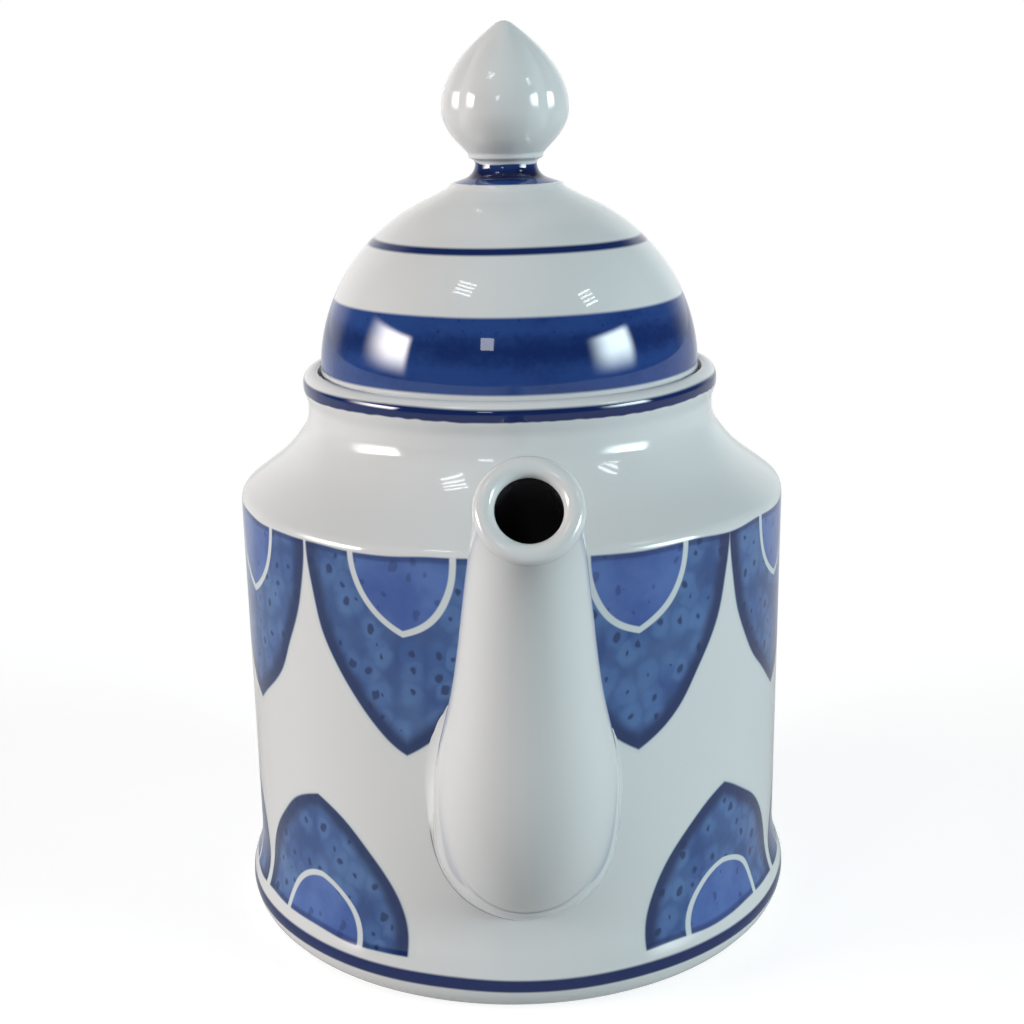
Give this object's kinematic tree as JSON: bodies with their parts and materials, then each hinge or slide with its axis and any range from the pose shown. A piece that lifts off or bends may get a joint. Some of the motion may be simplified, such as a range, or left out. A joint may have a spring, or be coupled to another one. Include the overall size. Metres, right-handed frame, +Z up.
{
  "type": "teapot",
  "caption": "Upright cylindrical porcelain teapot with a coved shoulder, S-curved spout, loop handle and a lift-off domed lid with a lobed bud knob.",
  "frame": {"origin": "centre of the foot, on the surface that the teapot stands on", "axes": "+Z up along the turning axis, spout towards -Y, handle towards +Y, +X to the right of someone who faces the spout"},
  "size_m": [0.1252, 0.2231, 0.1955],
  "materials": {
    "painted_porcelain": "gloss",
    "white_porcelain": "gloss"
  },
  "bodies": {
    "pot": {"pot_body": "painted_porcelain", "spout": "white_porcelain", "handle": "white_porcelain"},
    "lid": {"lid_dome": "painted_porcelain", "lid_knob": "painted_porcelain"}
  },
  "joints": [
    {"name": "lid_lift", "type": "slide", "parent": "pot", "child": "lid", "axis": [0, 0, 1], "range_m": [0, 0.06]}
  ]
}
